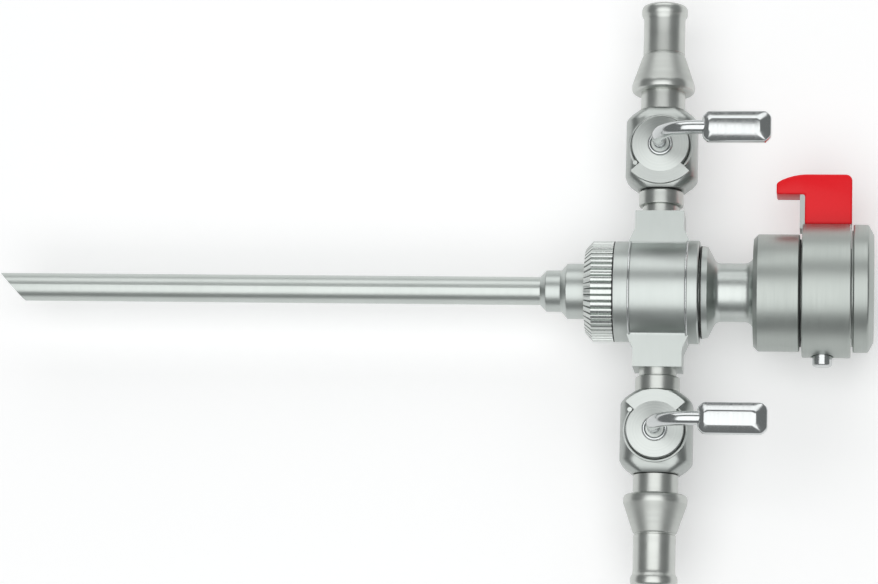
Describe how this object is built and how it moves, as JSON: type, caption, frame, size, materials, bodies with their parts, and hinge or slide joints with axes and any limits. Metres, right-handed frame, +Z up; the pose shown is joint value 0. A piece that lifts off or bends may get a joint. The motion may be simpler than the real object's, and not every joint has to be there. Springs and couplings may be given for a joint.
{
  "type": "arthroscope sheath",
  "caption": "Rigid arthroscope sheath with bevelled tube, rotating stopcock collar, knurled nut and lever-operated telescope lock.",
  "frame": {"origin": "centre of the rear face, at the mouth of the telescope port", "axes": "+X along the tube towards the rear, +Y through the upper stopcock, +Z up from the table to the lever side"},
  "size_m": [0.1786, 0.119, 0.0365],
  "materials": {
    "satin_steel": "satin",
    "polished_steel": "polished",
    "red_plastic": "gloss",
    "black_seal": "matt",
    "silicone_seal": "matt",
    "bronze": "satin",
    "dark_polymer": "matt",
    "black_polymer": "matt"
  },
  "bodies": {
    "sheath": {"sheath_tube": "satin_steel", "tube_ferrule": "satin_steel", "spindle": "satin_steel", "collar_seals": "black_seal", "rear_seal_ring": "black_seal", "lock_housing": "satin_steel", "telescope_seat": "satin_steel", "telescope_seal": "silicone_seal", "thrust_washer": "black_polymer", "end_cap": "satin_steel"},
    "nut_carrier": {"slip_washer": "dark_polymer"},
    "nut": {"knurled_nut": "satin_steel", "nut_bush": "bronze"},
    "collar": {"stopcock_collar": "satin_steel", "upper_union": "polished_steel", "upper_union_gasket": "black_seal", "upper_valve_body": "satin_steel", "upper_stop_pin": "polished_steel", "upper_connector_gasket": "black_seal", "upper_hose_connector": "polished_steel", "lower_union": "polished_steel", "lower_union_gasket": "black_seal", "lower_valve_body": "satin_steel", "lower_stop_pin": "polished_steel", "lower_connector_gasket": "black_seal", "lower_hose_connector": "polished_steel"},
    "upper_valve": {"upper_valve_plug": "satin_steel", "upper_lever_rod": "polished_steel", "upper_lever_paddle": "polished_steel", "upper_spring_washer": "polished_steel", "upper_plug_nut": "polished_steel"},
    "lower_valve": {"lower_valve_plug": "satin_steel", "lower_lever_rod": "polished_steel", "lower_lever_paddle": "polished_steel", "lower_spring_washer": "polished_steel", "lower_plug_nut": "polished_steel"},
    "lock": {"lock_ring": "satin_steel", "lever_tab": "polished_steel", "lever_pins": "polished_steel", "lever_grip": "red_plastic", "ring_stud": "polished_steel"}
  },
  "joints": [
    {"name": "collar_turn", "type": "hinge", "parent": "sheath", "child": "collar", "pos_m": [-0.0427, 0, 0], "axis": [1, 0, 0], "continuous": true},
    {"name": "upper_valve_turn", "type": "hinge", "parent": "collar", "child": "upper_valve", "pos_m": [-0.0427, 0.0289, 0], "axis": [0, 0, 1], "range_deg": [0, 250]},
    {"name": "lower_valve_turn", "type": "hinge", "parent": "collar", "child": "lower_valve", "pos_m": [-0.0427, -0.0289, 0], "axis": [0, 0, 1], "range_deg": [-250, 0]},
    {"name": "lock_turn", "type": "hinge", "parent": "sheath", "child": "lock", "pos_m": [-0.009, 0, 0], "axis": [1, 0, 0], "range_deg": [0, 45]},
    {"name": "nut_advance", "type": "slide", "parent": "sheath", "child": "nut_carrier", "axis": [-1, 0, 0], "range_m": [0, 0.0015]},
    {"name": "nut_turn", "type": "hinge", "parent": "nut_carrier", "child": "nut", "pos_m": [-0.0547, 0, 0], "axis": [1, 0, 0], "range_deg": [0, 720]}
  ],
  "couplings": [
    {"joint": "nut_advance", "follows": "nut_turn", "m_per_rad": 0.00011937}
  ]
}
